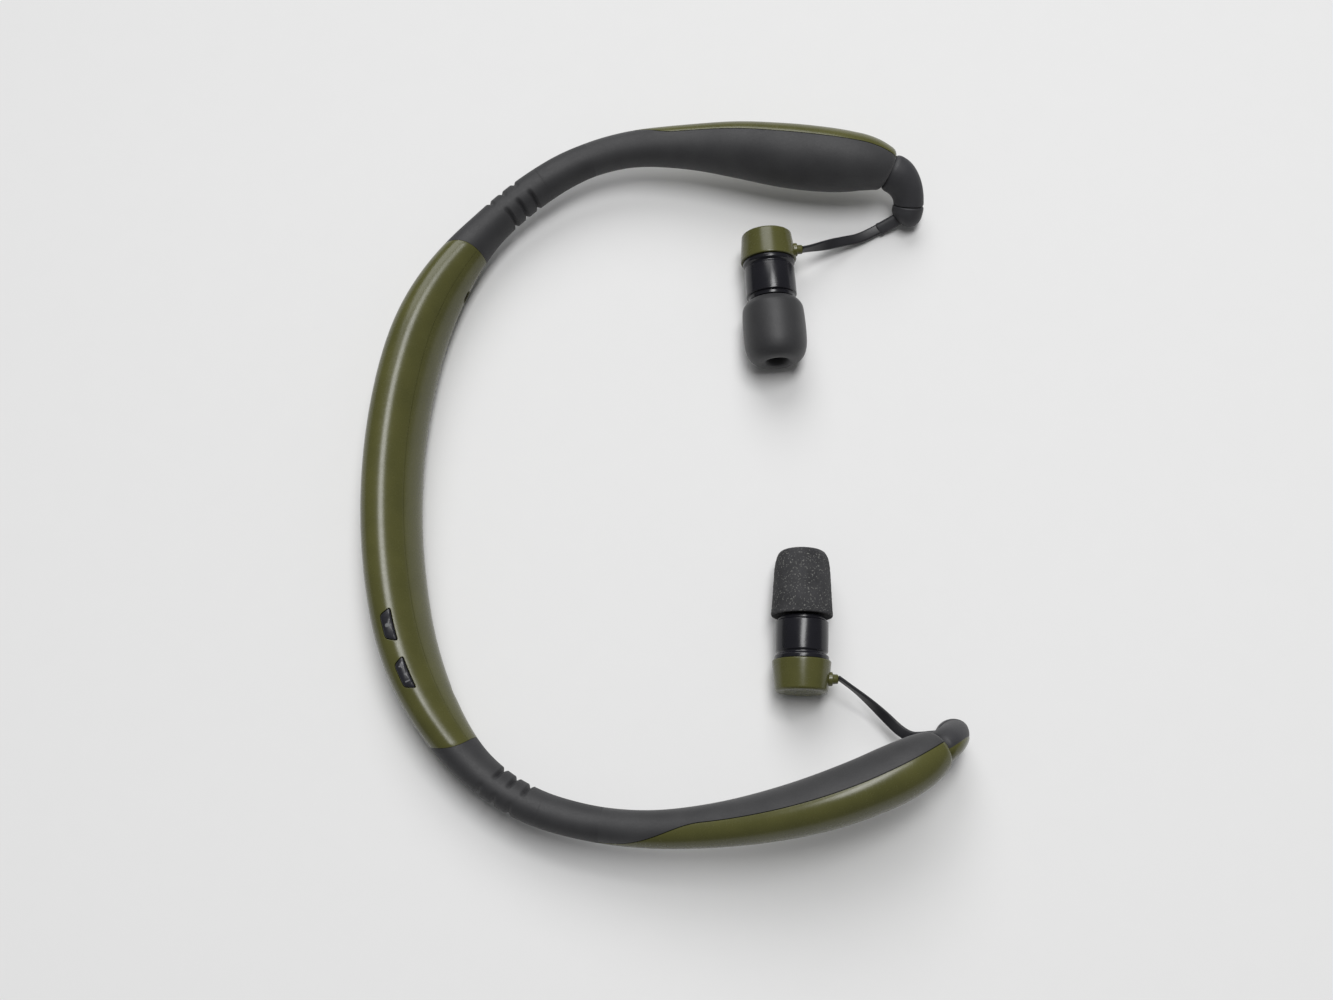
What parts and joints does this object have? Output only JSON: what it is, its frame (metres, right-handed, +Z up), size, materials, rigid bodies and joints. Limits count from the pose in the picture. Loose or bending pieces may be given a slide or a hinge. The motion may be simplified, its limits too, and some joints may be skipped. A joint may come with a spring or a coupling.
{
  "type": "neckband headset",
  "caption": "Behind-the-neck wireless headset: rigid pod, flexible rubber necks, two hooked arms, and earbuds on reeled flat cords.",
  "frame": {"origin": "centre of the footprint, on the table that the headset lies on", "axes": "+X from the back of the neck to the arm tips, +Y towards the wearer's left, +Z up"},
  "size_m": [0.1326, 0.1664, 0.0234],
  "materials": {
    "olive_gloss": "glossy olive drab moulded plastic",
    "steel": "bright steel",
    "cell_foil": "foil pouch",
    "board_green": "green circuit board with solder mask",
    "chip_black": "black moulded chip packages",
    "button_black": "satin black moulded keys",
    "lens_clear": "clear light window",
    "flap_rubber": "olive rubber cover",
    "neck_rubber": "matt black flexible rubber",
    "lead_insulation": "black insulated lead",
    "brass": "crimped brass block",
    "arm_rubber": "dark grey soft-touch rubber",
    "hook_rubber": "dark grey soft rubber",
    "cord_fabric": "thin black flat cord",
    "nylon_white": "natural nylon",
    "black_gloss": "glossy black moulded plastic",
    "foam_smooth": "smooth-skinned dark grey slow-recovery foam",
    "foam_coarse": "open-cell dark grey foam with light specks"
  },
  "bodies": {
    "root": {"pod_outer_shell": "olive_gloss", "pod_inner_cover": "olive_gloss", "pod_screws": "steel", "battery": "cell_foil", "main_board": "board_green", "radio_chips": "chip_black", "microphone": "steel", "switch_board": "board_green", "tact_switches": "steel", "charging_socket": "steel", "left_wire_anchor": "brass", "right_wire_anchor": "brass"},
    "power_button": {"power_button": "button_black", "status_lens": "lens_clear"},
    "volume_rocker": {"volume_rocker": "button_black"},
    "port_flap": {"port_flap": "flap_rubber"},
    "left_neck": {"left_neck_grip": "neck_rubber", "left_neck_tail": "neck_rubber", "left_spring_wire": "steel", "left_neck_lead": "lead_insulation"},
    "left_arm": {"left_arm_cover": "olive_gloss", "left_arm_body": "arm_rubber", "left_arm_lead": "lead_insulation", "left_hook_guide": "hook_rubber", "left_hook_cap": "hook_rubber", "left_cord_sleeve": "hook_rubber", "left_reel_axle": "steel", "left_reel_bracket": "nylon_white", "left_clock_spring": "steel", "left_bud_cord": "cord_fabric"},
    "left_reel": {"left_reel_spool": "nylon_white", "left_wound_cord": "cord_fabric"},
    "left_bud": {"left_bud_cap": "olive_gloss", "left_bud_barrel": "black_gloss", "left_bud_driver": "steel", "left_nozzle_screen": "steel", "left_cord_boss": "olive_gloss"},
    "left_tip": {"left_foam_tip": "foam_smooth"},
    "right_neck": {"right_neck_grip": "neck_rubber", "right_neck_tail": "neck_rubber", "right_spring_wire": "steel", "right_neck_lead": "lead_insulation"},
    "right_arm": {"right_arm_cover": "olive_gloss", "right_arm_body": "arm_rubber", "right_arm_lead": "lead_insulation", "right_hook_guide": "hook_rubber", "right_hook_cap": "hook_rubber", "right_cord_sleeve": "hook_rubber", "right_reel_axle": "steel", "right_reel_bracket": "nylon_white", "right_clock_spring": "steel", "right_bud_cord": "cord_fabric"},
    "right_reel": {"right_reel_spool": "nylon_white", "right_wound_cord": "cord_fabric"},
    "right_bud": {"right_bud_cap": "olive_gloss", "right_bud_barrel": "black_gloss", "right_bud_driver": "steel", "right_nozzle_screen": "steel", "right_cord_boss": "olive_gloss"},
    "right_tip": {"right_foam_tip": "foam_coarse"}
  },
  "joints": [
    {"name": "power_press", "type": "slide", "parent": "root", "child": "power_button", "axis": [0.0987, 0.0256, -0.9948], "range_m": [0, 0.0003], "stiffness_N_per_m": 600},
    {"name": "volume_rock", "type": "hinge", "parent": "root", "child": "volume_rocker", "pos_m": [-0.05439, -0.04693, 0.01358], "axis": [-0.9131, -0.392, -0.1118], "range_deg": [-3, 3], "stiffness_Nm_per_rad": 0.02},
    {"name": "port_flap_hinge", "type": "hinge", "parent": "root", "child": "port_flap", "pos_m": [-0.06376, 0.01912, 0.01025], "axis": [-0.041, 0.0066, 0.9991], "range_deg": [0, 100]},
    {"name": "left_spread", "type": "hinge", "parent": "root", "child": "left_neck", "pos_m": [-0.03477, 0.0635, 0.00808], "axis": [0, 0, 1], "range_deg": [-4, 32], "stiffness_Nm_per_rad": 0.25, "deforming": ["left_neck_grip", "left_spring_wire", "left_neck_lead"]},
    {"name": "left_twist", "type": "hinge", "parent": "left_neck", "child": "left_arm", "pos_m": [-0.02275, 0.07242, 0.00857], "axis": [0.8705, 0.4902, 0.044], "range_deg": [-20, 20], "stiffness_Nm_per_rad": 0.3, "deforming": ["left_neck_tail", "left_spring_wire", "left_neck_lead"]},
    {"name": "left_bud_pull", "type": "slide", "parent": "left_arm", "child": "left_bud", "axis": [-0.9215, -0.3883, 0], "range_m": [-0.014, 0.06], "deforming": ["left_bud_cord"]},
    {"name": "left_reel_spin", "type": "hinge", "parent": "left_arm", "child": "left_reel", "pos_m": [0.03207, 0.07497, 0.01107], "axis": [-0.087, -0.6096, 0.788], "range_deg": [-230, 900]},
    {"name": "left_tip_off", "type": "slide", "parent": "left_bud", "child": "left_tip", "axis": [0.0663, -0.9978, 0], "range_m": [0, 0.01]},
    {"name": "right_spread", "type": "hinge", "parent": "root", "child": "right_neck", "pos_m": [-0.03358, -0.07054, 0.0082], "axis": [0, 0, -1], "range_deg": [-4, 32], "stiffness_Nm_per_rad": 0.25, "deforming": ["right_neck_grip", "right_spring_wire", "right_neck_lead"]},
    {"name": "right_twist", "type": "hinge", "parent": "right_neck", "child": "right_arm", "pos_m": [-0.01925, -0.07671, 0.00945], "axis": [-0.9619, 0.2496, -0.1117], "range_deg": [-20, 20], "stiffness_Nm_per_rad": 0.3, "deforming": ["right_neck_tail", "right_spring_wire", "right_neck_lead"]},
    {"name": "right_bud_pull", "type": "slide", "parent": "right_arm", "child": "right_bud", "axis": [-0.8616, 0.5076, 0], "range_m": [-0.01, 0.06], "deforming": ["right_bud_cord"]},
    {"name": "right_reel_spin", "type": "hinge", "parent": "right_arm", "child": "right_reel", "pos_m": [0.03831, -0.07238, 0.01582], "axis": [0.3318, -0.9303, -0.1564], "range_deg": [-230, 900]},
    {"name": "right_tip_off", "type": "slide", "parent": "right_bud", "child": "right_tip", "axis": [0.0279, 0.9996, 0], "range_m": [0, 0.01]}
  ],
  "couplings": [
    {"joint": "left_reel_spin", "follows": "left_bud_pull", "rad_per_m": 250},
    {"joint": "right_reel_spin", "follows": "right_bud_pull", "rad_per_m": 250}
  ]
}
